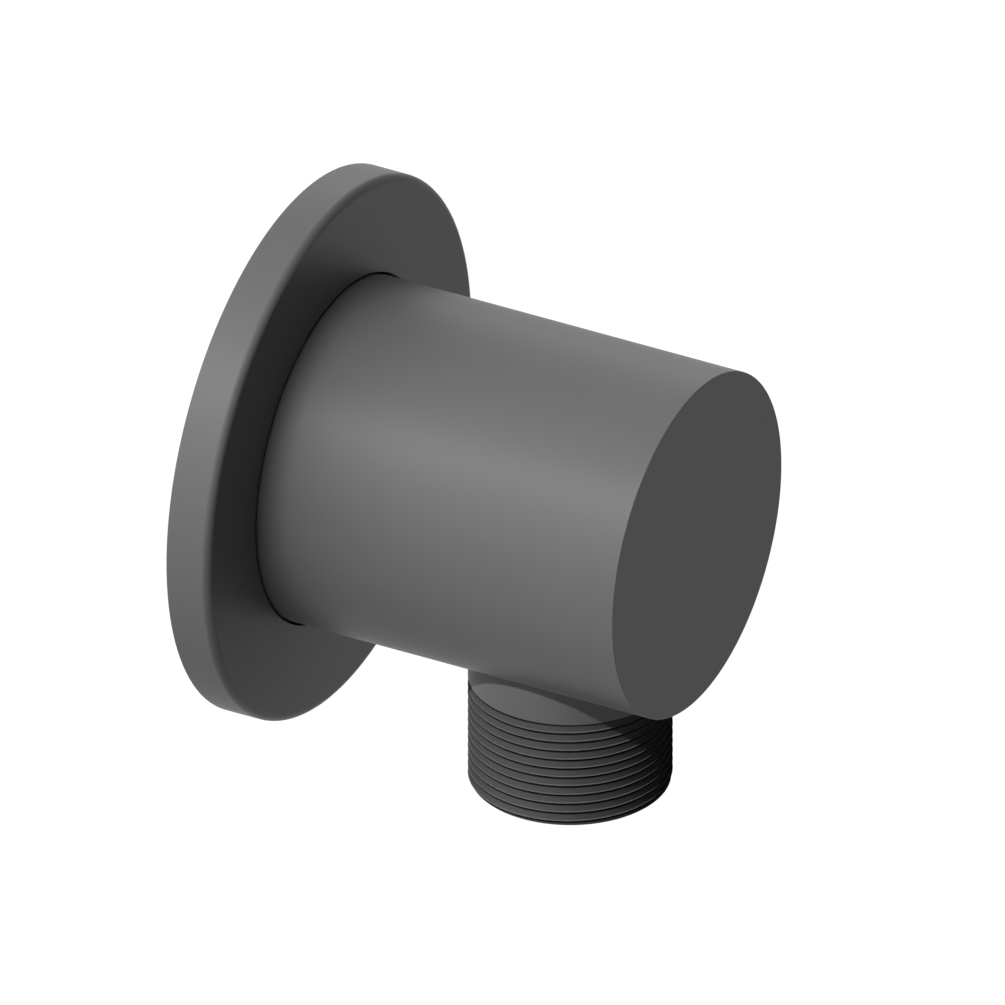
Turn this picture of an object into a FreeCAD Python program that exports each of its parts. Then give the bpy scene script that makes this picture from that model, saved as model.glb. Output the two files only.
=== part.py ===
import FreeCAD, Part
import os
import Sketcher

# Wall outlet elbow for a shower hose, in millimetres.
# The wall is the plane Y = 0 and the body's axis is the Y axis. The body stands out from the wall along -Y,
# the outlet points down along -Z, and the origin is where the body's axis meets the wall.
# Turned pieces are profiles of radius and station: a distance from the wall, or a drop below the axis.

# Driving dimensions: name, value and what it sets.
SIZES = [
    ("body_diameter", 36.7, "outside of the bar that the body is turned from"),
    ("projection", 46.1, "wall to end face"),
    ("end_edge_radius", 0.1, "softened edge round the end face"),
    ("back_chamfer", 0.6, "lead-in on the body's back edge, for the flange and its ring"),
    ("inlet_thread_diameter", 20.955, "major diameter of the G 1/2 inlet thread"),
    ("inlet_thread_length", 13.0, "depth of the inlet thread's wall, with its mouth chamfer"),
    ("inlet_mouth_chamfer", 0.4, "countersink at the inlet's mouth"),
    ("relief_depth", 0.45, "how much deeper than the thread its run-out groove is cut"),
    ("relief_width", 2.2, "width of the run-out groove"),
    ("passage_diameter", 13.0, "drilled water passage along the body"),
    ("passage_overrun", 1.5, "full-width passage past the far side of the outlet's waterway"),
    ("drill_point_angle", 118.0, "included angle of the drilled ends, in degrees"),
    ("outlet_setback", 14.7, "end face to the outlet's axis"),
    ("seat_land", 2.1, "metal between the passage and the floor of the neck's socket"),
    ("waterway_diameter", 6.5, "water hole through the neck"),
    ("neck_diameter", 10.0, "neck that carries the outlet in the body's socket"),
    ("outlet_clearance", 0.05, "radial play of the outlet's neck and collar in the body"),
    ("neck_tip_gap", 0.3, "air between the neck's tip and the floor of its socket"),
    ("neck_tip_chamfer", 0.5, "lead-in at the neck's tip"),
    ("seat_wall", 0.45, "least depth of the collar's counterbore, where the body's side curves away from it"),
    ("collar_edge_chamfer", 0.2, "broken edge at the collar's upper face"),
    ("collar_drop", 0.8, "plain collar that shows between the body's lowest line and the thread"),
    ("outlet_thread_diameter", 20.955, "major diameter of the G 1/2 outlet thread, and the collar's"),
    ("outlet_thread_length", 12.1, "collar to the outlet's end face"),
    ("outlet_relief_width", 0.6, "run-out groove between the collar and the thread"),
    ("outlet_relief_depth", 0.2, "how deep that groove is cut"),
    ("outlet_end_chamfer", 0.3, "broken edge at the outlet's end"),
    ("outlet_bore_diameter", 14.0, "wide bore in the outlet's end"),
    ("outlet_bore_depth", 8.0, "length of the wide bore's straight wall"),
    ("outlet_mouth_chamfer", 0.5, "countersink at the wide bore's mouth"),
    ("neck_seal_setback", 2.2, "collar's seat to the seal's groove in the socket"),
    ("neck_groove_depth", 1.25, "how deep the seal's groove is cut in the socket's wall"),
    ("neck_seal_width", 1.6, "squeezed width of the neck's seal"),
    ("flange_overhang", 10.5, "how far the flange stands out past the body all round"),
    ("flange_thickness", 4.9, "wall to the flange's front face"),
    ("flange_edge_radius", 0.87, "rounded front edge of the flange"),
    ("flange_gap", 0.25, "radial air between the body and the flange's hole"),
    ("flange_front_wall", 1.7, "plate left in front of the hollow back"),
    ("flange_rim_width", 2.0, "rim that meets the wall"),
    ("collar_width", 2.8, "collar round the flange's hole"),
    ("collar_setback", 0.5, "air between the collar and the wall"),
    ("recess_corner_radius", 0.6, "rounded floor corners of the hollow back"),
    ("flange_groove_depth", 1.3, "how deep the ring's groove is cut in the collar"),
    ("flange_ring_width", 1.9, "squeezed width of the flange's ring"),
    ("groove_play", 0.3, "spare width of a ring's groove"),
    ("ring_corner_radius", 0.5, "rounded corners of a squeezed ring"),
]

# Places worked out from the driving dimensions, as expressions on the sheet.
BODY_RADIUS = "(dims.body_diameter / 2)"
OUTLET_STATION = "(dims.projection - dims.outlet_setback)"
INLET_RADIUS = "(dims.inlet_thread_diameter / 2)"
RELIEF_RADIUS = f"({INLET_RADIUS} + dims.relief_depth)"
RELIEF_END = "(dims.inlet_thread_length + dims.relief_width)"
WATERWAY_RADIUS = "(dims.waterway_diameter / 2)"
PASSAGE_RADIUS = "(dims.passage_diameter / 2)"
PASSAGE_END = f"({OUTLET_STATION} + {WATERWAY_RADIUS} + dims.passage_overrun)"
DRILL_SLOPE = "tan(dims.drill_point_angle / 2 * 1 deg)"
SOCKET_FLOOR = f"({PASSAGE_RADIUS} + dims.seat_land)"
NECK_RADIUS = "(dims.neck_diameter / 2)"
SOCKET_RADIUS = f"({NECK_RADIUS} + dims.outlet_clearance)"
NECK_TIP = f"({SOCKET_FLOOR} + dims.neck_tip_gap)"
OUTLET_RADIUS = "(dims.outlet_thread_diameter / 2)"
COUNTERBORE_RADIUS = f"({OUTLET_RADIUS} + dims.outlet_clearance)"
COLLAR_SEAT = f"(sqrt({BODY_RADIUS} ^ 2 - {COUNTERBORE_RADIUS} ^ 2) - dims.seat_wall)"
COLLAR_FOOT = f"({BODY_RADIUS} + dims.collar_drop)"
OUTLET_END = f"({COLLAR_FOOT} + dims.outlet_thread_length)"
OUTLET_BORE_RADIUS = "(dims.outlet_bore_diameter / 2)"
OUTLET_BORE_TOP = f"({OUTLET_END} - dims.outlet_bore_depth)"
SEAL_GROOVE_RADIUS = f"({SOCKET_RADIUS} + dims.neck_groove_depth)"
SEAL_GROOVE_WIDTH = "(dims.neck_seal_width + dims.groove_play)"
SEAL_GROOVE_TOP = f"({COLLAR_SEAT} - dims.neck_seal_setback - {SEAL_GROOVE_WIDTH})"
FLANGE_RADIUS = f"({BODY_RADIUS} + dims.flange_overhang)"
FLANGE_HOLE_RADIUS = f"({BODY_RADIUS} + dims.flange_gap)"
FLANGE_GROOVE_RADIUS = f"({FLANGE_HOLE_RADIUS} + dims.flange_groove_depth)"
FLANGE_GROOVE_MIDDLE = "((dims.flange_thickness + dims.collar_setback) / 2)"
FLANGE_GROOVE_HALF = "((dims.flange_ring_width + dims.groove_play) / 2)"
COLLAR_RADIUS = f"({FLANGE_HOLE_RADIUS} + dims.collar_width)"
RECESS_RADIUS = f"({FLANGE_RADIUS} - dims.flange_rim_width)"
RECESS_DEPTH = "(dims.flange_thickness - dims.flange_front_wall)"

SAME_PLACE = 1e-6


def make_sheet(doc):
    """Write each driving dimension on a row of the sheet: name, value under that alias, and note."""
    sheet = doc.addObject("Spreadsheet::Sheet", "dims")
    for row, (alias, value, note) in enumerate(SIZES, start=1):
        sheet.set(f"A{row}", alias)
        sheet.set(f"B{row}", str(value))
        sheet.setAlias(f"B{row}", alias)
        sheet.set(f"C{row}", note)
    doc.recompute()


def new_body(doc, label):
    """A body of its own for one piece, named by its label."""
    body = doc.addObject("PartDesign::Body", label)
    body.Label = label
    return body


def new_sketch(body, name, role, offset="0"):
    """A sketch on one of the body's origin planes, moved along the plane's normal by the offset."""
    sketch = body.newObject("Sketcher::SketchObject", name)
    plane = [feature for feature in body.Origin.OriginFeatures if feature.Role == role][0]
    sketch.AttachmentSupport = [(plane, "")]
    sketch.MapMode = "FlatFace"
    if offset != "0":
        sketch.setExpression(".AttachmentOffset.Base.z", offset)
    return sketch


def measure(sketch, expression):
    """The value of an expression on the sheet."""
    return float(sketch.evalExpression(expression))


def bind_distance(sketch, kind, point, expression):
    """Hold a sketch point at a distance from the sketch's origin, or on the axis itself where it is 0."""
    geometry, end = point
    if expression == "0":
        axis = -2 if kind == "DistanceX" else -1
        sketch.addConstraint(Sketcher.Constraint("PointOnObject", geometry, end, axis))
        return
    value = measure(sketch, expression)
    index = sketch.addConstraint(Sketcher.Constraint(kind, -1, 1, geometry, end, value))
    sketch.setExpression(f"Constraints[{index}]", expression)


def draw_profile(sketch, corners):
    """A closed outline of straight lines. A corner is two expressions: radius, and height in the sketch."""
    places = [FreeCAD.Vector(measure(sketch, x), measure(sketch, y), 0) for x, y in corners]
    count = len(corners)
    for i in range(count):
        sketch.addGeometry(Part.LineSegment(places[i], places[(i + 1) % count]), False)
    for i in range(count):
        sketch.addConstraint(Sketcher.Constraint("Coincident", i, 2, (i + 1) % count, 1))
    for i, (radius, height) in enumerate(corners):
        bind_distance(sketch, "DistanceX", (i, 1), radius)
        bind_distance(sketch, "DistanceY", (i, 1), height)


def turned(body, name, kind, role, corners):
    """Turn a profile about its sketch's upright axis: a Revolution adds metal and a Groove takes it away."""
    before = body.Shape.Volume if kind == "Groove" else 0
    sketch = new_sketch(body, f"{name}_profile", role)
    draw_profile(sketch, corners)
    feature = body.newObject(f"PartDesign::{kind}", name)
    feature.Profile = sketch
    feature.ReferenceAxis = (sketch, ["V_Axis"])
    feature.Angle = 360
    body.Document.recompute()
    if kind == "Groove" and body.Shape.Volume >= before:
        raise RuntimeError(f"{name} takes nothing from {body.Label}")
    return feature


def drilled(body, name, radius, station, drop, depth=None):
    """A round hole cut straight down from a drop below the body's axis, right through or to a depth."""
    before = body.Shape.Volume
    sketch = new_sketch(body, f"{name}_circle", "XY_Plane", f"-{drop}" if drop != "0" else drop)
    centre = FreeCAD.Vector(0, -measure(sketch, station), 0)
    sketch.addGeometry(Part.Circle(centre, FreeCAD.Vector(0, 0, 1), measure(sketch, radius)), False)
    bind_distance(sketch, "DistanceX", (0, 3), "0")
    bind_distance(sketch, "DistanceY", (0, 3), f"-{station}")
    index = sketch.addConstraint(Sketcher.Constraint("Radius", 0, measure(sketch, radius)))
    sketch.setExpression(f"Constraints[{index}]", radius)
    hole = body.newObject("PartDesign::Pocket", name)
    hole.Profile = sketch
    if depth is None:
        hole.Type = "ThroughAll"
    else:
        hole.setExpression("Length", depth)
    body.Document.recompute()
    if body.Shape.Volume >= before:
        raise RuntimeError(f"{name} takes nothing from {body.Label}")
    return hole


def circles(feature, axis, radius=None, station=None):
    """Names of the feature's circular edges, or only those of one radius at one station along the axis."""
    names = []
    for number, edge in enumerate(feature.Shape.Edges, start=1):
        if not isinstance(edge.Curve, Part.Circle):
            continue
        off_radius = radius is not None and abs(edge.Curve.Radius - radius) > SAME_PLACE
        off_station = station is not None and abs(edge.Curve.Center.dot(axis) - station) > SAME_PLACE
        if not off_radius and not off_station:
            names.append(f"Edge{number}")
    return names


def dressed(body, name, kind, feature, edges, size):
    """Round the named edges with a Fillet or break them with a Chamfer."""
    if not edges:
        raise RuntimeError(f"{name} finds no edge on {body.Label}")
    dress = body.newObject(f"PartDesign::{kind}", name)
    dress.Base = (feature, edges)
    dress.setExpression("Radius" if kind == "Fillet" else "Size", size)
    body.Document.recompute()
    return dress


def make_elbow_body(doc):
    """The bar: closed in front, bored from the wall, with a stepped socket below for the outlet."""
    body = new_body(doc, "elbow_body")
    forward = FreeCAD.Vector(0, -1, 0)
    bar = turned(body, "bar", "Revolution", "XY_Plane", [
        ("0", "0"),
        (f"{BODY_RADIUS} - dims.back_chamfer", "0"),
        (BODY_RADIUS, "-dims.back_chamfer"),
        (BODY_RADIUS, "-dims.projection"),
        ("0", "-dims.projection"),
    ])
    end_edge = circles(bar, forward, measure(bar, BODY_RADIUS), measure(bar, "dims.projection"))
    dressed(body, "end_edge", "Fillet", bar, end_edge, "dims.end_edge_radius")
    # From the wall: countersunk mouth, thread wall, run-out groove, and the passage with its drilled point.
    turned(body, "inlet", "Groove", "XY_Plane", [
        ("0", "0"),
        (f"{INLET_RADIUS} + dims.inlet_mouth_chamfer", "0"),
        (INLET_RADIUS, "-dims.inlet_mouth_chamfer"),
        (INLET_RADIUS, "-dims.inlet_thread_length"),
        (RELIEF_RADIUS, "-dims.inlet_thread_length - dims.relief_depth"),
        (RELIEF_RADIUS, f"-{RELIEF_END}"),
        (PASSAGE_RADIUS, f"-{RELIEF_END} - ({RELIEF_RADIUS} - {PASSAGE_RADIUS}) / {DRILL_SLOPE}"),
        (PASSAGE_RADIUS, f"-{PASSAGE_END}"),
        ("0", f"-{PASSAGE_END} - {PASSAGE_RADIUS} / {DRILL_SLOPE}"),
    ])
    drilled(body, "waterway", WATERWAY_RADIUS, OUTLET_STATION, "0")
    drilled(body, "neck_socket", SOCKET_RADIUS, OUTLET_STATION, SOCKET_FLOOR)
    drilled(body, "seal_groove", SEAL_GROOVE_RADIUS, OUTLET_STATION, SEAL_GROOVE_TOP, SEAL_GROOVE_WIDTH)
    drilled(body, "counterbore", COUNTERBORE_RADIUS, OUTLET_STATION, COLLAR_SEAT)
    return body


def make_outlet_nipple(doc):
    """The hose outlet: a threaded stub whose collar seats in the body, under a neck that takes the seal."""
    body = new_body(doc, "outlet_nipple")
    body.setExpression(".Placement.Base.y", f"-{OUTLET_STATION}")
    turned(body, "stub", "Revolution", "XZ_Plane", [
        ("0", f"-{NECK_TIP}"),
        (f"{NECK_RADIUS} - dims.neck_tip_chamfer", f"-{NECK_TIP}"),
        (NECK_RADIUS, f"-{NECK_TIP} - dims.neck_tip_chamfer"),
        (NECK_RADIUS, f"-{COLLAR_SEAT}"),
        (f"{OUTLET_RADIUS} - dims.collar_edge_chamfer", f"-{COLLAR_SEAT}"),
        (OUTLET_RADIUS, f"-{COLLAR_SEAT} - dims.collar_edge_chamfer"),
        (OUTLET_RADIUS, f"-{COLLAR_FOOT}"),
        (f"{OUTLET_RADIUS} - dims.outlet_relief_depth", f"-{COLLAR_FOOT}"),
        (f"{OUTLET_RADIUS} - dims.outlet_relief_depth", f"-{COLLAR_FOOT} - dims.outlet_relief_width"),
        (OUTLET_RADIUS, f"-{COLLAR_FOOT} - dims.outlet_relief_width"),
        (OUTLET_RADIUS, f"-{OUTLET_END} + dims.outlet_end_chamfer"),
        (f"{OUTLET_RADIUS} - dims.outlet_end_chamfer", f"-{OUTLET_END}"),
        ("0", f"-{OUTLET_END}"),
    ])
    turned(body, "bore", "Groove", "XZ_Plane", [
        ("0", f"-{NECK_TIP}"),
        (WATERWAY_RADIUS, f"-{NECK_TIP}"),
        (WATERWAY_RADIUS, f"-{OUTLET_BORE_TOP} + ({OUTLET_BORE_RADIUS} - {WATERWAY_RADIUS}) / {DRILL_SLOPE}"),
        (OUTLET_BORE_RADIUS, f"-{OUTLET_BORE_TOP}"),
        (OUTLET_BORE_RADIUS, f"-{OUTLET_END} + dims.outlet_mouth_chamfer"),
        (f"{OUTLET_BORE_RADIUS} + dims.outlet_mouth_chamfer", f"-{OUTLET_END}"),
        ("0", f"-{OUTLET_END}"),
    ])
    return body


def make_wall_flange(doc):
    """The cover plate: a ring with a rounded front edge, hollow behind, with a collar round its hole."""
    body = new_body(doc, "wall_flange")
    forward = FreeCAD.Vector(0, -1, 0)
    plate = turned(body, "plate", "Revolution", "XY_Plane", [
        (FLANGE_HOLE_RADIUS, "-dims.collar_setback"),
        (COLLAR_RADIUS, "-dims.collar_setback"),
        (COLLAR_RADIUS, f"-{RECESS_DEPTH}"),
        (RECESS_RADIUS, f"-{RECESS_DEPTH}"),
        (RECESS_RADIUS, "0"),
        (FLANGE_RADIUS, "0"),
        (FLANGE_RADIUS, "-dims.flange_thickness"),
        (FLANGE_HOLE_RADIUS, "-dims.flange_thickness"),
    ])
    front = circles(plate, forward, measure(plate, FLANGE_RADIUS), measure(plate, "dims.flange_thickness"))
    rounded = dressed(body, "front_edge", "Fillet", plate, front, "dims.flange_edge_radius")
    depth = measure(plate, RECESS_DEPTH)
    floor = []
    for radius in (COLLAR_RADIUS, RECESS_RADIUS):
        floor += circles(rounded, forward, measure(plate, radius), depth)
    dressed(body, "recess_corners", "Fillet", rounded, floor, "dims.recess_corner_radius")
    turned(body, "ring_groove", "Groove", "XY_Plane", [
        (BODY_RADIUS, f"-{FLANGE_GROOVE_MIDDLE} + {FLANGE_GROOVE_HALF}"),
        (FLANGE_GROOVE_RADIUS, f"-{FLANGE_GROOVE_MIDDLE} + {FLANGE_GROOVE_HALF}"),
        (FLANGE_GROOVE_RADIUS, f"-{FLANGE_GROOVE_MIDDLE} - {FLANGE_GROOVE_HALF}"),
        (BODY_RADIUS, f"-{FLANGE_GROOVE_MIDDLE} - {FLANGE_GROOVE_HALF}"),
    ])
    return body


def make_ring(doc, label, role, inner, outer, middle, width):
    """A squeezed rubber ring: a section with rounded corners, turned about the sketch's upright axis."""
    body = new_body(doc, label)
    section = turned(body, f"{label}_section", "Revolution", role, [
        (inner, f"-{middle} - {width} / 2"),
        (outer, f"-{middle} - {width} / 2"),
        (outer, f"-{middle} + {width} / 2"),
        (inner, f"-{middle} + {width} / 2"),
    ])
    corners = circles(section, FreeCAD.Vector(0, 0, 1))
    dressed(body, f"{label}_corners", "Fillet", section, corners, "dims.ring_corner_radius")
    return body


def make_flange_ring(doc):
    """The ring in the flange's collar: it grips the body and holds the flange against the wall."""
    return make_ring(
        doc, "flange_o_ring", "XY_Plane",
        BODY_RADIUS, FLANGE_GROOVE_RADIUS, FLANGE_GROOVE_MIDDLE, "dims.flange_ring_width",
    )


def make_neck_seal(doc):
    """The ring in the socket's groove: it seals round the outlet's neck."""
    middle = f"({SEAL_GROOVE_TOP} + {SEAL_GROOVE_WIDTH} / 2)"
    body = make_ring(
        doc, "neck_o_ring", "XZ_Plane",
        NECK_RADIUS, SEAL_GROOVE_RADIUS, middle, "dims.neck_seal_width",
    )
    body.setExpression(".Placement.Base.y", f"-{OUTLET_STATION}")
    return body


def check_model(doc, bodies):
    """Stop if any object failed to build, or if a piece isn't one valid solid."""
    for item in doc.Objects:
        if "Invalid" in item.State or "Error" in item.State:
            raise RuntimeError(f"{item.Name} is {item.State}")
    for body in bodies:
        shape = body.Shape
        if shape.isNull() or not shape.isValid() or len(shape.Solids) != 1:
            raise RuntimeError(f"{body.Label} isn't one valid solid")


def main():
    """Build every piece, check them, and write one file for each."""
    doc = FreeCAD.newDocument("wall_outlet_elbow")
    make_sheet(doc)
    makers = [make_elbow_body, make_outlet_nipple, make_neck_seal, make_wall_flange, make_flange_ring]
    bodies = [make(doc) for make in makers]
    doc.recompute()
    check_model(doc, bodies)
    os.makedirs("parts", exist_ok=True)
    for body in bodies:
        body.Shape.exportStep(f"parts/{body.Label}.step")
        box = body.Shape.BoundBox
        print(f"{body.Label}: {body.Shape.Volume:.1f} mm3, X {box.XMin:.2f} to {box.XMax:.2f}, "
              f"Y {box.YMin:.2f} to {box.YMax:.2f}, Z {box.ZMin:.2f} to {box.ZMax:.2f}")


main()
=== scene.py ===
import math

import bpy
import numpy as np
from mathutils import Matrix, Vector


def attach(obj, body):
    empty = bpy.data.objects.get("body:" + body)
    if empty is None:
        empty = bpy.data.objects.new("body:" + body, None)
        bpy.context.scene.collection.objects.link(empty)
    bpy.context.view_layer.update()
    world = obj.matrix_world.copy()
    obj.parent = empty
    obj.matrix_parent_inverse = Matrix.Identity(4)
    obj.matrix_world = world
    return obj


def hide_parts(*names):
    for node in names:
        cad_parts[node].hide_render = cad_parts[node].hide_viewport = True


# Looks of the wall outlet elbow. Shapes are worked out in millimetres and stored in metres, in the row frame:
# the wall is the plane Y = 0, the body's axis is the Y axis, and the outlet hangs down along -Z.
# A station is a distance from the wall, and a drop is a distance below the body's axis.

MM = 0.001
FULL_TURN = 2 * math.pi
STEPS = 256
FILLET_STEPS = 8
WELD_CELLS_PER_MM = 1e4
WELD_SHIFT = 0.137

BODY_RADIUS = 18.35
BODY_LENGTH = 46.1
END_EDGE = 0.1
BACK_CHAMFER = 0.6
BODY_ROWS = [7.0, 13.0]

INLET_RADIUS = 10.4775
INLET_DEPTH = 13.0
INLET_CHAMFER = 0.4
INLET_PITCH = 1.814
INLET_RIDGE = 1.162
INLET_RIDGE_STEPS = 16
INLET_FIRST_ROOT = 0.9
INLET_FADE_IN = 1.3
INLET_FADE_OUT = 0.9
RELIEF_RADIUS = 10.9275
RELIEF_END = 15.2
PASSAGE_RADIUS = 6.5
PASSAGE_END = 36.15
PASSAGE_ROW = 22.0
DRILL_SLOPE = math.tan(math.radians(59))

OUTLET_STATION = 31.4
WATERWAY_RADIUS = 3.25
SOCKET_FLOOR = 8.6
SOCKET_RADIUS = 5.05
COUNTERBORE_RADIUS = 10.5275
COLLAR_SEAT = math.sqrt(BODY_RADIUS ** 2 - COUNTERBORE_RADIUS ** 2) - 0.45
SEAL_GROOVE_RADIUS = 6.3
SEAL_GROOVE_TOP = COLLAR_SEAT - 4.1
SEAL_GROOVE_END = COLLAR_SEAT - 2.2

# The part of a drilled cylinder that follows the hole's rim: its width and length in cells, how far it reaches
# along the body from the outlet's axis, and its rings, which crowd towards the rim.
HOLE_CELLS = STEPS // 4
BODY_HOLE_REACH = 13.1
PASSAGE_HOLE_REACH = 4.6
HOLE_RINGS = 12
HOLE_CROWDING = 1.3

NECK_RADIUS = 5.0
NECK_TIP = 8.9
NECK_CHAMFER = 0.5
COLLAR_EDGE = 0.2
COLLAR_END = 19.24
OUTLET_CREST = 10.4775
OUTLET_END = 31.25
OUTLET_BORE = 7.0
OUTLET_BORE_TOP = 23.25
MOUTH_CHAMFER = 0.5

OUTLET_PITCH = 1.044
THREAD_END = 31.17
THREAD_TIP_RADIUS = OUTLET_CREST - 0.25
# A crest passes this drop at this angle round the outlet, as seen in the photograph.
SEEN_CREST_DROP = 20.159
SEEN_CREST_ANGLE = math.radians(208.08)
# Down one turn from a ridge's crest: its steep underside, a narrow groove, a land, and the next ridge's ledge.
RIDGE_DROPS = [0.0, 0.03, 0.07, 0.30, 0.42, 1.0, OUTLET_PITCH]
RIDGE_RADII = [OUTLET_CREST, OUTLET_CREST, 10.27, 10.265, 10.31, 10.335, OUTLET_CREST]
# How the radius grows with the drop for the normals, at the upper and the lower edge of each of those stretches.
RIDGE_SLOPES = [(0.0, 0.0), (-5.2, -5.2), (-0.4, -0.1), (-0.1, 0.0), (0.0, 0.04), (3.2, 3.2)]

FLANGE_RADIUS = 28.85
FLANGE_THICKNESS = 4.9
FLANGE_EDGE = 0.87
FLANGE_BACK_EDGE = 0.08
FLANGE_HOLE = 18.6
FLANGE_HOLE_EDGE = 0.06
FLANGE_SEAM = FLANGE_HOLE + 0.3
RING_GROOVE_RADIUS = 19.9
RING_GROOVE_BACK = 1.6
RING_GROOVE_FRONT = 3.8
FLANGE_RIM = 26.85
COLLAR_RADIUS = 21.4
COLLAR_SETBACK = 0.5
RECESS_DEPTH = 3.2
RECESS_CORNER = 0.6

# Painted shade and highlight on the outlet's thread: the grey of its coat, as a share of the plain coat's, at
# distances from the outlet's axis in millimetres. The groove is painted dark and the lands darker as shade, and the
# crests are painted lighter than the coat as a highlight.
THREAD_PAINTED_SHADE_TONES = [(10.275, 0.12), (10.31, 0.74), (10.36, 0.80), (10.45, 1.2)]
TONE_FROM, TONE_TO = 10.2, 10.5

FLOOR_REACH = 6.0
FLOOR_CELLS = 12
FLOOR_LEVEL = -0.5

# Strip lamps: lean, first and last angle in degrees, and strength.
STRIPS = {
    "strip_front": (43, -3, 17, 1.8),
    "strip_middle": (43.7, 17, 45, 0.85),
    "strip_back": (46, 45, 71, 1.15),
}
STRIP_DISTANCE = 2.0
STRIP_WIDTH = math.radians(1.2)
# Round lamps: direction from the part, strength, and width in degrees.
ROUND_LAMPS = {
    "left": ((-0.947, 0.162, 0.276), 0.5, 25),
    "right_back": ((0.671, 0.688, 0.276), 0.44, 25),
    "right": ((0.862, 0.425, 0.276), 0.17, 25),
}

# The photograph's parallel view: its size and scale in pixels, the directions across it and out of it, the point
# of the body's axis that was fitted, and how far that point lies right of and below the middle, in millimetres.
PICTURE_WIDTH = 1005
PIXELS_PER_MM = 9.79
PICTURE_RIGHT = (0.47074, -0.88228, 0.0)
PICTURE_OUT = (-0.75908, -0.40500, 0.50969)
FITTED_POINT = (0, -46.13, 0)
FITTED_RIGHT = 19.919
FITTED_BELOW = 4.399
CAMERA_DISTANCE = 0.4
CAMERA_FAR = 20


def about_wall_axis(radius, station, angle):
    """Points round the body's axis: the angle starts at the bottom and turns towards +X."""
    return np.stack(np.broadcast_arrays(radius * np.sin(angle), -station, -radius * np.cos(angle)), axis=-1)


def about_outlet_axis(radius, drop, angle):
    """Points round the outlet's axis: the angle is counter-clockwise from +X, seen from above."""
    side = radius * np.cos(angle)
    depth = radius * np.sin(angle) - OUTLET_STATION
    return np.stack(np.broadcast_arrays(side, depth, -drop), axis=-1)


def towards(place, out, along, angle):
    """Directions with a part away from the axis and a part along it: the place's points less its origin."""
    return place(out, along, angle) - place(0.0, 0.0, angle)


def whole_circle():
    """Angles of one full turn, with its first point again at the end."""
    return np.linspace(0, FULL_TURN, STEPS + 1)


def rim_angles():
    """Angles of the points round a drilled hole's rim, from the corner where its border's list starts."""
    return whole_circle() - math.pi / 4


def stretches(corners):
    """A profile in parts: straight lines between the corners, and an arc at each corner that has a fillet.

    A corner is (radius, height) or (radius, height, fillet). An arc of fillet f touches both lines at a distance of
    f times the tangent of half the turn. Each part is a list of points with a list of directions, which point to the
    left of travel, away from the metal.
    """
    spots = np.array([corner[:2] for corner in corners], float)
    fillets = [corner[2] if len(corner) > 2 else 0.0 for corner in corners]
    runs = np.diff(spots, axis=0)
    runs /= np.linalg.norm(runs, axis=1, keepdims=True)
    lefts = np.stack([-runs[:, 1], runs[:, 0]], axis=1)
    parts = []
    start = spots[0]
    for i in range(1, len(spots)):
        before, left = runs[i - 1], lefts[i - 1]
        last = i == len(spots) - 1
        turn = 0.0 if last else math.atan2(np.cross(before, runs[i]), np.dot(before, runs[i]))
        stop = spots[i] - before * fillets[i] * abs(math.tan(turn / 2))
        parts.append((np.array([start, stop]), np.array([left, left])))
        start = stop
        if fillets[i] > 0:
            share = np.linspace(0, turn, FILLET_STEPS + 1)[:, None]
            side = math.copysign(1.0, turn)
            centre = stop + side * fillets[i] * left
            normals = np.cos(share) * left - np.sin(share) * before
            parts.append((centre - side * fillets[i] * normals, normals))
            start = parts[-1][0][-1]
    return parts


def turned(corners, place):
    """Turned surface: every point of the profile goes round the axis in a circle."""
    angles = whole_circle()[None, :]
    patches = []
    for points, normals in stretches(corners):
        grid = place(points[:, :1], points[:, 1:], angles)
        patches.append((grid, towards(place, normals[:, :1], normals[:, 1:], angles)))
    return patches


def bored_wall(radius, before, reach, after, hole_radius, facing):
    """A cylinder round the body's axis, with the outlet's way drilled up into its lowest line.

    Away from the hole it is a plain grid of angle and height. Round the hole, over a quarter of a turn and as far
    along as it reaches, the grid runs from the hole's rim out to a rectangle: a point is (1 - w) times the rim's
    point plus w times the border's, on the unrolled cylinder. A rim point at the angle t lies hole_radius * sin(t)
    to the side and hole_radius * cos(t) along.
    """
    step = FULL_TURN / STEPS
    half = HOLE_CELLS // 2
    wide = np.arange(half, STEPS - half + 1) * step
    near = np.arange(-half, half + 1) * step
    rows = np.linspace(OUTLET_STATION - reach, OUTLET_STATION + reach, HOLE_CELLS + 1)
    grids = [
        (wide, np.concatenate([before, rows, after])),
        (near, np.append(before, rows[0])),
        (near, np.append(rows[-1], after)),
    ]
    patches = []
    for angles, heights in grids:
        grid = about_wall_axis(radius, heights[:, None], angles[None, :])
        patches.append((grid, towards(about_wall_axis, facing, 0.0, angles[None, :]) + 0 * grid))
    border_angle = np.concatenate([
        near[:-1], np.full(HOLE_CELLS, near[-1]), near[:0:-1], np.full(HOLE_CELLS + 1, near[0]),
    ])
    border_height = np.concatenate([
        np.full(HOLE_CELLS, rows[-1]), rows[:0:-1], np.full(HOLE_CELLS, rows[0]), rows,
    ])
    t = rim_angles()
    rim_angle = np.arcsin(hole_radius * np.sin(t) / radius)
    rim_height = OUTLET_STATION + hole_radius * np.cos(t)
    w = (np.linspace(0, 1, HOLE_RINGS + 1) ** HOLE_CROWDING)[:, None]
    angle = (1 - w) * rim_angle + w * border_angle
    height = (1 - w) * rim_height + w * border_height
    patches.append((about_wall_axis(radius, height, angle), towards(about_wall_axis, facing, 0.0, angle)))
    return patches


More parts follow.
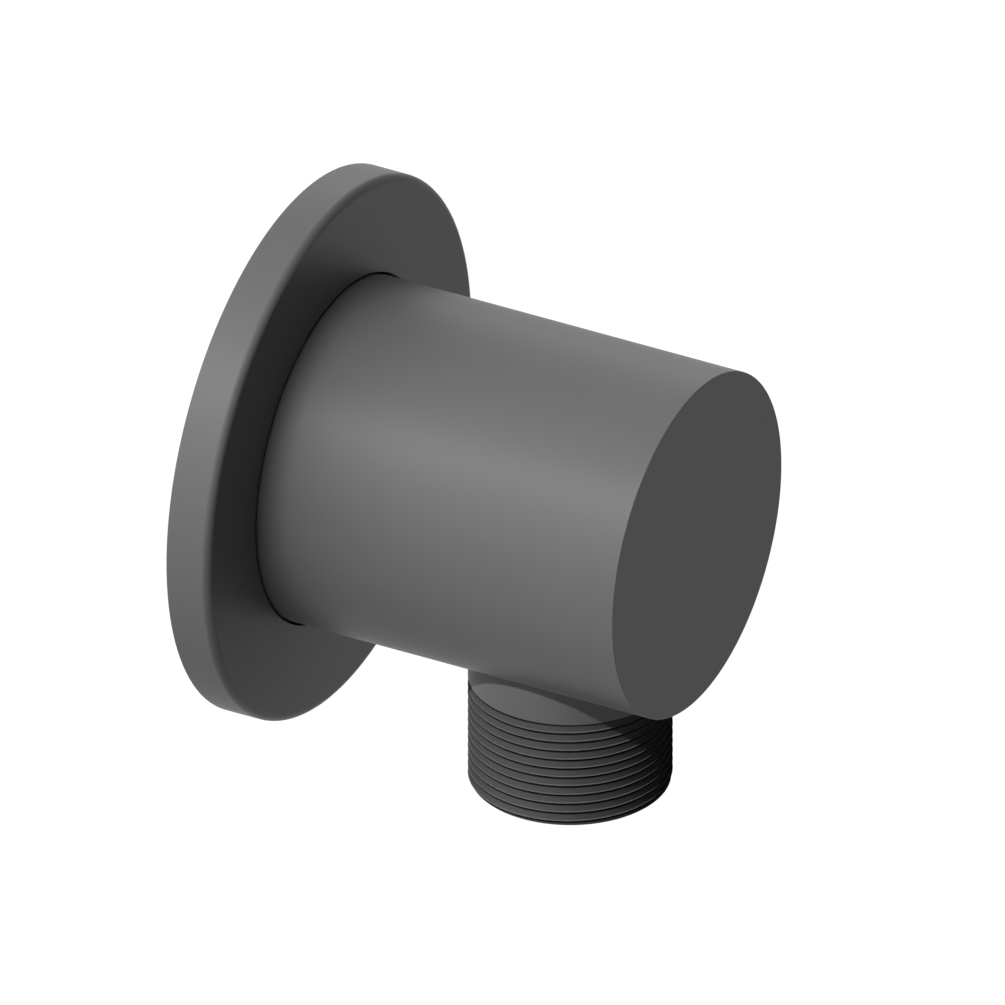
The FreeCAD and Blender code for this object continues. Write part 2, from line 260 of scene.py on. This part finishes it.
def drilled_way():
    """The way down from the passage: its walls and steps are circles about the outlet's axis.

    At both ends the wall stops at the cylinder of radius R that it breaks into, at the drop of the square root of
    R * R less the square of the point's distance to the side.
    """
    t = rim_angles()[None, :]
    side, along = np.sin(t), np.cos(t)

    def ring(radius, drop):
        return np.stack(np.broadcast_arrays(radius * side, -OUTLET_STATION - radius * along, -drop), axis=-1)

    top = np.sqrt(PASSAGE_RADIUS ** 2 - (WATERWAY_RADIUS * side) ** 2)
    bottom = np.sqrt(BODY_RADIUS ** 2 - (COUNTERBORE_RADIUS * side) ** 2)
    walls = [
        (WATERWAY_RADIUS, top, SOCKET_FLOOR),
        (SOCKET_RADIUS, SOCKET_FLOOR, SEAL_GROOVE_TOP),
        (SEAL_GROOVE_RADIUS, SEAL_GROOVE_TOP, SEAL_GROOVE_END),
        (SOCKET_RADIUS, SEAL_GROOVE_END, COLLAR_SEAT),
        (COUNTERBORE_RADIUS, COLLAR_SEAT, bottom),
    ]
    steps = [
        (SOCKET_FLOOR, WATERWAY_RADIUS, SOCKET_RADIUS, -1.0),
        (SEAL_GROOVE_TOP, SOCKET_RADIUS, SEAL_GROOVE_RADIUS, -1.0),
        (SEAL_GROOVE_END, SOCKET_RADIUS, SEAL_GROOVE_RADIUS, 1.0),
        (COLLAR_SEAT, SOCKET_RADIUS, COUNTERBORE_RADIUS, -1.0),
    ]
    inward = np.stack(np.broadcast_arrays(-side, along, 0 * side), axis=-1)
    patches = []
    for radius, above, below in walls:
        grid = np.concatenate([ring(radius, above), ring(radius, below)])
        patches.append((grid, inward + 0 * grid))
    for drop, inner, outer, up in steps:
        grid = np.concatenate([ring(inner, drop), ring(outer, drop)])
        patches.append((grid, np.array([0.0, 0.0, up]) + 0 * grid))
    return patches


def screw_thread(place, facing, pitch, start, low, high, shares, radii, slopes, fade):
    """A screw thread in ribbons, each as wide as one line of the thread's profile.

    A ribbon's edge lies at the height start + pitch * (share + angle / full turn), cut to the heights from low to
    high. The radius there is read off the profile, which repeats once a pitch, and fade pulls it to the profile's
    first radius near the ends. The slopes are each ribbon's growth of radius with height at its two edges.
    The thread comes with its radius round the turn at both ends, low and high.
    """

    def radius_at(height, rise):
        share = ((height - rise) / pitch) % 1.0
        return radii[0] + fade(height) * (np.interp(share, shares, radii) - radii[0])

    turns = math.ceil((high - low) / pitch) + 2
    first = math.floor((low - start) / pitch) - 1
    angle = np.arange(first * STEPS, (first + turns) * STEPS + 1) * FULL_TURN / STEPS
    rise = start + pitch * angle / FULL_TURN
    patches = []
    for k in range(len(shares) - 1):
        height = np.clip(np.array([rise + pitch * shares[k], rise + pitch * shares[k + 1]]), low, high)
        grid = place(radius_at(height, rise), height, angle[None, :])
        slope = np.array(slopes[k])[:, None] * fade(height)
        length = np.sqrt(1 + slope ** 2)
        patches.append((grid, towards(place, facing / length, -facing * slope / length, angle[None, :])))
    rise = start + pitch * whole_circle() / FULL_TURN
    return patches, radius_at(np.full(STEPS + 1, low), rise), radius_at(np.full(STEPS + 1, high), rise)


def whole_piece(name, coats, node):
    """One closed mesh from all patches, which come as lists with the material that each list wears.

    Points that fall into one cell of a fine lattice become one, so the edges between patches close. The lattice is
    shifted, so that no round size lies on a cell's side. Every face corner keeps the direction that its own patch
    gave, so those edges stay crisp.
    """
    patches = [patch for _, listed in coats for patch in listed]
    points = np.concatenate([grid.reshape(-1, 3) for grid, _ in patches])
    normals = np.concatenate([facing.reshape(-1, 3) for _, facing in patches])
    quads, worn, offset = [], [], 0
    for number, (_, listed) in enumerate(coats):
        for grid, _ in listed:
            index = offset + np.arange(grid.shape[0] * grid.shape[1]).reshape(grid.shape[:2])
            around = [index[:-1, :-1], index[:-1, 1:], index[1:, 1:], index[1:, :-1]]
            quads.append(np.stack(around, axis=-1).reshape(-1, 4))
            worn.append(np.full(len(quads[-1]), number))
            offset += index.size
    quads = np.concatenate(quads)
    worn = np.tile(np.concatenate(worn), 2)
    corners = np.concatenate([quads[:, [0, 1, 2]], quads[:, [0, 2, 3]]])
    cells = np.floor(points * WELD_CELLS_PER_MM + WELD_SHIFT)
    _, kept, shared = np.unique(cells, axis=0, return_index=True, return_inverse=True)
    faces = shared.ravel()[corners]
    whole = (faces[:, 0] != faces[:, 1]) & (faces[:, 1] != faces[:, 2]) & (faces[:, 2] != faces[:, 0])
    corners, faces, worn = corners[whole], faces[whole], worn[whole]
    spots = points[kept]
    flat = np.cross(spots[faces[:, 1]] - spots[faces[:, 0]], spots[faces[:, 2]] - spots[faces[:, 0]])
    turned_in = (flat * normals[corners].sum(axis=1)).sum(axis=1) < 0
    corners[turned_in] = corners[turned_in][:, ::-1]
    faces[turned_in] = faces[turned_in][:, ::-1]

    mesh = bpy.data.meshes.new(name)
    mesh.vertices.add(len(spots))
    mesh.vertices.foreach_set("co", (spots * MM).ravel())
    mesh.loops.add(faces.size)
    mesh.loops.foreach_set("vertex_index", faces.ravel())
    mesh.polygons.add(len(faces))
    mesh.polygons.foreach_set("loop_start", np.arange(0, faces.size, 3))
    mesh.polygons.foreach_set("use_smooth", np.ones(len(faces), bool))
    mesh.polygons.foreach_set("material_index", worn)
    mesh.update(calc_edges=True)
    mesh.validate()
    mesh.normals_split_custom_set(normals[corners].reshape(-1, 3))
    for material, _ in coats:
        mesh.materials.append(material)
    piece = bpy.data.objects.new(name, mesh)
    bpy.context.scene.collection.objects.link(piece)
    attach(piece, "root")
    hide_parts(node)


def inlet_thread():
    """The G 1/2 thread in the inlet: 14 ridges to the inch, rounded, 1.162 mm deep at the flanks' 55 degrees.

    The radius falls from the root to the ridge as half of 1 - cos of the share of the pitch, and the ridges start
    and end over part of a turn.
    """
    shares = np.linspace(0, 1, INLET_RIDGE_STEPS + 1)
    radii = INLET_RADIUS - INLET_RIDGE * (1 - np.cos(FULL_TURN * shares)) / 2
    growth = -INLET_RIDGE * math.pi * np.sin(FULL_TURN * shares) / INLET_PITCH
    slopes = np.stack([growth[:-1], growth[1:]], axis=1)

    def fade(height):
        opening = np.clip((height - INLET_CHAMFER) / INLET_FADE_IN, 0, 1)
        return opening * np.clip((INLET_DEPTH - height) / INLET_FADE_OUT, 0, 1)

    patches, _, _ = screw_thread(
        about_wall_axis, -1.0, INLET_PITCH, INLET_FIRST_ROOT, INLET_CHAMFER, INLET_DEPTH, shares, radii, slopes, fade,
    )
    return patches


def elbow_body_patches():
    """The turned bar with its inlet, and the drilled way down to the outlet's socket."""
    edge_end = BODY_LENGTH - 2 * END_EDGE
    relief_start = INLET_DEPTH + RELIEF_RADIUS - INLET_RADIUS
    cone_end = RELIEF_END + (RELIEF_RADIUS - PASSAGE_RADIUS) / DRILL_SLOPE
    patches = turned([
        (0, BODY_LENGTH), (BODY_RADIUS, BODY_LENGTH, END_EDGE), (BODY_RADIUS, edge_end),
    ], about_wall_axis)
    patches += bored_wall(
        BODY_RADIUS, [BACK_CHAMFER] + BODY_ROWS, BODY_HOLE_REACH, [edge_end], COUNTERBORE_RADIUS, 1.0,
    )
    patches += turned([
        (BODY_RADIUS, BACK_CHAMFER), (BODY_RADIUS - BACK_CHAMFER, 0),
        (INLET_RADIUS + INLET_CHAMFER, 0), (INLET_RADIUS, INLET_CHAMFER),
    ], about_wall_axis)
    patches += inlet_thread()
    patches += turned([
        (INLET_RADIUS, INLET_DEPTH), (RELIEF_RADIUS, relief_start), (RELIEF_RADIUS, RELIEF_END),
        (PASSAGE_RADIUS, cone_end),
    ], about_wall_axis)
    patches += bored_wall(
        PASSAGE_RADIUS, [cone_end, PASSAGE_ROW], PASSAGE_HOLE_REACH, [PASSAGE_END], WATERWAY_RADIUS, -1.0,
    )
    patches += turned([
        (PASSAGE_RADIUS, PASSAGE_END), (0, PASSAGE_END + PASSAGE_RADIUS / DRILL_SLOPE),
    ], about_wall_axis)
    return patches + drilled_way()


def outlet_nipple_patches():
    """The outlet in two lists: the plain part with neck, collar and stepped bore, and the thread.

    A right-hand ridge comes up as the angle grows, so the screw is worked out with the angle turned round.
    """

    def mirrored(radius, drop, angle):
        return about_outlet_axis(radius, drop, -angle)

    angles = whole_circle()
    cone_top = OUTLET_BORE_TOP - (OUTLET_BORE - WATERWAY_RADIUS) / DRILL_SLOPE
    plain = turned([
        (WATERWAY_RADIUS, NECK_TIP), (WATERWAY_RADIUS, cone_top), (OUTLET_BORE, OUTLET_BORE_TOP),
        (OUTLET_BORE, OUTLET_END - MOUTH_CHAMFER), (OUTLET_BORE + MOUTH_CHAMFER, OUTLET_END),
        (THREAD_TIP_RADIUS, OUTLET_END),
    ], about_outlet_axis)
    plain += turned([
        (OUTLET_CREST, COLLAR_END), (OUTLET_CREST, COLLAR_SEAT + COLLAR_EDGE),
        (OUTLET_CREST - COLLAR_EDGE, COLLAR_SEAT), (NECK_RADIUS, COLLAR_SEAT),
        (NECK_RADIUS, NECK_TIP + NECK_CHAMFER), (NECK_RADIUS - NECK_CHAMFER, NECK_TIP),
        (WATERWAY_RADIUS, NECK_TIP),
    ], about_outlet_axis)
    start = SEEN_CREST_DROP + OUTLET_PITCH * SEEN_CREST_ANGLE / FULL_TURN
    threads, top, end = screw_thread(
        mirrored, 1.0, OUTLET_PITCH, start, COLLAR_END, THREAD_END, np.array(RIDGE_DROPS) / OUTLET_PITCH,
        np.array(RIDGE_RADII), RIDGE_SLOPES, np.ones_like,
    )
    under = np.stack([mirrored(OUTLET_CREST, COLLAR_END, angles), mirrored(top, COLLAR_END, angles)])
    threads.append((under, np.array([0.0, 0.0, -1.0]) + 0 * under))
    chamfer = np.stack([mirrored(end, THREAD_END, angles), mirrored(THREAD_TIP_RADIUS, OUTLET_END, angles)])
    chamfer_out, chamfer_down = 0.55, 0.83
    threads.append((chamfer, towards(mirrored, chamfer_out, chamfer_down, angles)[None] + 0 * chamfer))
    return plain, threads


def wall_flange_patches():
    """The cover plate, turned in one round trip of its section: front, edge, rim, hollow, collar and groove."""
    return turned([
        (FLANGE_SEAM, FLANGE_THICKNESS), (FLANGE_RADIUS, FLANGE_THICKNESS, FLANGE_EDGE),
        (FLANGE_RADIUS, 0, FLANGE_BACK_EDGE), (FLANGE_RIM, 0), (FLANGE_RIM, RECESS_DEPTH, RECESS_CORNER),
        (COLLAR_RADIUS, RECESS_DEPTH, RECESS_CORNER), (COLLAR_RADIUS, COLLAR_SETBACK),
        (FLANGE_HOLE, COLLAR_SETBACK), (FLANGE_HOLE, RING_GROOVE_BACK), (RING_GROOVE_RADIUS, RING_GROOVE_BACK),
        (RING_GROOVE_RADIUS, RING_GROOVE_FRONT), (FLANGE_HOLE, RING_GROOVE_FRONT),
        (FLANGE_HOLE, FLANGE_THICKNESS, FLANGE_HOLE_EDGE), (FLANGE_SEAM, FLANGE_THICKNESS),
    ], about_wall_axis)


def shader_node(tree, kind, place, **settings):
    """A shader node with its settings. A name that isn't the node's own is one of its sockets."""
    made = tree.nodes.new(kind)
    made.location = place
    for name, value in settings.items():
        if hasattr(made, name):
            setattr(made, name, value)
        else:
            made.inputs[name.replace("_", " ")].default_value = value
    return made


def grey_ramp(tree, place, stops):
    """A colour ramp through greys, given as (position, grey)."""
    ramp = shader_node(tree, "ShaderNodeValToRGB", place)
    elements = ramp.color_ramp.elements
    while len(elements) < len(stops):
        elements.new(0.5)
    for element, (position, grey) in zip(elements, stops):
        element.position = position
        element.color = (grey, grey, grey, 1)
    return ramp


def grained_material(name, clouds, grain, tones, gloss, relief):
    """A grey material on object coordinates: its tone follows one noise, its roughness and fine relief another.

    The noises and the relief are their nodes' settings, the tones are a ramp, and the gloss is the roughness at the
    lowest and the highest value. Without clouds of its own the tone follows the grain.
    """
    material = bpy.data.materials.new(name)
    material.use_nodes = True
    tree = material.node_tree
    shader = tree.nodes["Principled BSDF"]
    place = shader_node(tree, "ShaderNodeTexCoord", (-1100, 0))
    fine = shader_node(tree, "ShaderNodeTexNoise", (-850, -250), **grain)
    broad = shader_node(tree, "ShaderNodeTexNoise", (-850, 200), **clouds) if clouds else fine
    tree.links.new(place.outputs["Object"], fine.inputs["Vector"])
    tree.links.new(place.outputs["Object"], broad.inputs["Vector"])
    tone = grey_ramp(tree, (-600, 250), tones)
    rough = shader_node(tree, "ShaderNodeMapRange", (-600, -50), To_Min=gloss[0], To_Max=gloss[1])
    bump = shader_node(tree, "ShaderNodeBump", (-600, -350), **relief)
    tree.links.new(broad.outputs["Fac"], tone.inputs["Fac"])
    tree.links.new(tone.outputs["Color"], shader.inputs["Base Color"])
    tree.links.new(fine.outputs["Fac"], rough.inputs["Value"])
    tree.links.new(rough.outputs["Result"], shader.inputs["Roughness"])
    tree.links.new(fine.outputs["Fac"], bump.inputs["Height"])
    tree.links.new(bump.outputs["Normal"], shader.inputs["Normal"])
    return material, tree, shader


def gunmetal_coat(name, specular):
    """Matt dark grey coat: faint clouds in its tone, and a grain finer than a tenth of a mm in its gloss."""
    material, tree, shader = grained_material(
        name,
        clouds={"Scale": 55.0, "Detail": 3.0, "Roughness": 0.5},
        grain={"Scale": 9000.0, "Detail": 2.0, "Roughness": 0.6},
        tones=[(0.3, 0.146), (0.7, 0.154)],
        gloss=(0.44, 0.50),
        relief={"Strength": 0.15, "Distance": 0.004 * MM},
    )
    shader.inputs["Metallic"].default_value = 0.0
    shader.inputs["Specular IOR Level"].default_value = specular
    return material, tree, shader


def thread_coat_painted_shade():
    """The coat on the outlet's thread: it has no gloss there, and its colour carries painted shade, darkest in the
    groove, and a painted highlight along the crests.

    Its tone is the plain coat's times a share that follows the distance from the outlet's axis, so that shade and
    highlight are painted by that distance.
    """
    material, tree, shader = gunmetal_coat("thread_coat_painted_shade", 0.0)
    place = shader_node(tree, "ShaderNodeTexCoord", (-1700, -700))
    centred = shader_node(tree, "ShaderNodeVectorMath", (-1500, -700), operation="ADD")
    centred.inputs[1].default_value = (0, OUTLET_STATION * MM, 0)
    level = shader_node(tree, "ShaderNodeVectorMath", (-1300, -700), operation="MULTIPLY")
    level.inputs[1].default_value = (1, 1, 0)
    radius = shader_node(tree, "ShaderNodeVectorMath", (-1100, -700), operation="LENGTH")
    place_in_ramp = shader_node(
        tree, "ShaderNodeMapRange", (-900, -700), From_Min=TONE_FROM * MM, From_Max=TONE_TO * MM,
    )
    # Painted shade and highlight: this ramp darkens the groove and the lands and lightens the crests, by distance
    # from the outlet's axis.
    share = grey_ramp(tree, (-650, -600), [
        ((distance - TONE_FROM) / (TONE_TO - TONE_FROM), grey) for distance, grey in THREAD_PAINTED_SHADE_TONES
    ])
    shade = shader_node(tree, "ShaderNodeMixRGB", (-250, 250), blend_type="MULTIPLY")
    shade.inputs["Fac"].default_value = 1.0
    tree.links.new(place.outputs["Object"], centred.inputs[0])
    tree.links.new(centred.outputs[0], level.inputs[0])
    tree.links.new(level.outputs[0], radius.inputs[0])
    tree.links.new(radius.outputs["Value"], place_in_ramp.inputs["Value"])
    tree.links.new(place_in_ramp.outputs["Result"], share.inputs["Fac"])
    tree.links.new(shader.inputs["Base Color"].links[0].from_socket, shade.inputs["Color1"])
    tree.links.new(share.outputs["Color"], shade.inputs["Color2"])
    tree.links.new(shade.outputs["Color"], shader.inputs["Base Color"])
    return material


def seal_rubber():
    """Black moulded rubber: dull, with a fine uneven skin."""
    material, _, _ = grained_material(
        "seal_rubber",
        clouds=None,
        grain={"Scale": 2500.0, "Detail": 3.0},
        tones=[(0.0, 0.016), (1.0, 0.026)],
        gloss=(0.66, 0.84),
        relief={"Strength": 0.3, "Distance": 0.02 * MM},
    )
    return material


def white_to_see(tree):
    """White that only views, reflections and glass see: the largest of those three kinds of ray, as a strength."""
    rays = shader_node(tree, "ShaderNodeLightPath", (-900, -150))
    seen = shader_node(tree, "ShaderNodeMath", (-680, -150), operation="MAXIMUM")
    shown = shader_node(tree, "ShaderNodeMath", (-480, -150), operation="MAXIMUM")
    tree.links.new(rays.outputs["Is Camera Ray"], seen.inputs[0])
    tree.links.new(rays.outputs["Is Glossy Ray"], seen.inputs[1])
    tree.links.new(seen.outputs[0], shown.inputs[0])
    tree.links.new(rays.outputs["Is Transmission Ray"], shown.inputs[1])
    return shown.outputs[0]


def studio_floor():
    """A pale floor far below the hanging part, so that only a faint wide shadow falls on it."""
    line = np.linspace(-FLOOR_REACH, FLOOR_REACH, FLOOR_CELLS + 1)
    x, y = np.meshgrid(line, line, indexing="ij")
    points = np.stack([x, y, np.full_like(x, FLOOR_LEVEL)], axis=-1).reshape(-1, 3)
    index = np.arange(len(points)).reshape(x.shape)
    faces = np.stack([index[:-1, :-1], index[1:, :-1], index[1:, 1:], index[:-1, 1:]], axis=-1).reshape(-1, 4)
    mesh = bpy.data.meshes.new("studio_floor")
    mesh.from_pydata(points.tolist(), [], faces.tolist())
    material = bpy.data.materials.new("pale_floor")
    material.use_nodes = True
    tree = material.node_tree
    tree.nodes.clear()
    output = shader_node(tree, "ShaderNodeOutputMaterial", (400, 0))
    matt = shader_node(tree, "ShaderNodeBsdfDiffuse", (-200, 100), Color=(0.08, 0.08, 0.08, 1))
    glow = shader_node(tree, "ShaderNodeEmission", (-200, -150), Color=(1, 1, 1, 1))
    both = shader_node(tree, "ShaderNodeAddShader", (150, 0))
    tree.links.new(white_to_see(tree), glow.inputs["Strength"])
    tree.links.new(matt.outputs[0], both.inputs[0])
    tree.links.new(glow.outputs[0], both.inputs[1])
    tree.links.new(both.outputs[0], output.inputs["Surface"])
    mesh.materials.append(material)
    floor = bpy.data.objects.new("studio_floor", mesh)
    bpy.context.scene.collection.objects.link(floor)


def studio_air():
    """The room: white to look at and to reflect, and no light of its own on the part."""
    world = bpy.data.worlds.new("studio_air")
    world.use_nodes = True
    back = world.node_tree.nodes["Background"]
    back.inputs["Color"].default_value = (1, 1, 1, 1)
    world.node_tree.links.new(white_to_see(world.node_tree), back.inputs["Strength"])
    bpy.context.scene.world = world


def round_lamp(name, direction, strength, width):
    """A distant round lamp: light from one direction, as soft as a disc of the given width in degrees."""
    light = bpy.data.lights.new(name, "SUN")
    light.energy = strength
    light.angle = math.radians(width)
    lamp = bpy.data.objects.new(name, light)
    lamp.rotation_euler = Vector(direction).to_track_quat("Z", "Y").to_euler()
    bpy.context.scene.collection.objects.link(lamp)


def soft_box(name, direction, distance, strength, width):
    """A round soft box that faces the part, with the light that a distant lamp of this strength would give it."""
    light = bpy.data.lights.new(name, "AREA")
    light.shape = "DISK"
    light.size = width
    light.energy = strength * math.pi * distance ** 2
    box = bpy.data.objects.new(name, light)
    box.location = Vector(direction).normalized() * distance
    box.rotation_euler = Vector(direction).to_track_quat("Z", "Y").to_euler()
    bpy.context.scene.collection.objects.link(box)


def strip_light(name, lean, first, last, strength):
    """A long narrow soft box along the body: its shadows are crisp across the body and soft along it.

    The direction at an angle a is cos(a) times a line that leans to the left from the vertical, in the wall's plane,
    plus sin(a) times the body's axis behind the wall. The flat strip faces the part from the middle of its two
    angles and is as long as they span at its distance. The strength is that of a distant lamp which gives the part
    as much light.
    """
    outwards = Vector((-math.sin(math.radians(lean)), 0.0, math.cos(math.radians(lean))))
    wallwards = Vector((0.0, 1.0, 0.0))
    middle = math.radians(first + last) / 2
    towards_lamp = math.cos(middle) * outwards + math.sin(middle) * wallwards
    along = math.cos(middle) * wallwards - math.sin(middle) * outwards
    light = bpy.data.lights.new(name, "AREA")
    light.shape = "RECTANGLE"
    light.size = 2 * STRIP_DISTANCE * math.tan(math.radians(last - first) / 2)
    light.size_y = STRIP_DISTANCE * STRIP_WIDTH
    light.energy = strength * math.pi * STRIP_DISTANCE ** 2
    lamp = bpy.data.objects.new(name, light)
    turned_to = Matrix((along, towards_lamp.cross(along), towards_lamp)).transposed().to_4x4()
    lamp.matrix_world = Matrix.Translation(towards_lamp * STRIP_DISTANCE) @ turned_to
    bpy.context.scene.collection.objects.link(lamp)


def photo_camera():
    """The photograph's parallel view, from the left and above."""
    across = Vector(PICTURE_RIGHT).normalized()
    back = Vector(PICTURE_OUT).normalized()
    up = back.cross(across).normalized()
    middle = (Vector(FITTED_POINT) - across * FITTED_RIGHT + up * FITTED_BELOW) * MM
    camera = bpy.data.cameras.new("camera")
    camera.type = "ORTHO"
    camera.ortho_scale = PICTURE_WIDTH / PIXELS_PER_MM * MM
    camera.clip_end = CAMERA_FAR
    holder = bpy.data.objects.new("camera", camera)
    turned_to = Matrix((across, up, back)).transposed().to_4x4()
    holder.matrix_world = Matrix.Translation(middle + back * CAMERA_DISTANCE) @ turned_to
    bpy.context.scene.collection.objects.link(holder)
    bpy.context.scene.camera = holder


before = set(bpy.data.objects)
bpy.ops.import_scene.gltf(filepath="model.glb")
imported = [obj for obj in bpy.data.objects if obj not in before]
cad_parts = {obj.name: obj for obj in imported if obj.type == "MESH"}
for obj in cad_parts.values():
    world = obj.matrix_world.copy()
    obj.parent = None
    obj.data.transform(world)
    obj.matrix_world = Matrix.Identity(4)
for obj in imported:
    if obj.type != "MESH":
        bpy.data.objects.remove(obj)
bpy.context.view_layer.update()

coat, _, _ = gunmetal_coat("gunmetal_coat", 0.2)
rubber = seal_rubber()
plain, threads = outlet_nipple_patches()
whole_piece("elbow_body_turned", [(coat, elbow_body_patches())], "elbow_body")
# The thread wears the coat with painted shade in its grooves and on its lands, and a painted highlight on its crests.
whole_piece("outlet_nipple_threaded", [(coat, plain), (thread_coat_painted_shade(), threads)], "outlet_nipple")
whole_piece("wall_flange_turned", [(coat, wall_flange_patches())], "wall_flange")
for ring in ("neck_o_ring", "flange_o_ring"):
    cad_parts[ring].data.materials[0] = rubber

studio_floor()
photo_camera()
for name, (lean, first, last, strength) in STRIPS.items():
    strip_light(name, lean, first, last, strength)
for name, (direction, strength, width) in ROUND_LAMPS.items():
    round_lamp(name, direction, strength, width)
soft_box("front_low", direction=(0.45, -0.80, -0.40), distance=0.55, strength=0.1, width=0.25)
studio_air()
bpy.context.scene.view_settings.view_transform = "Standard"
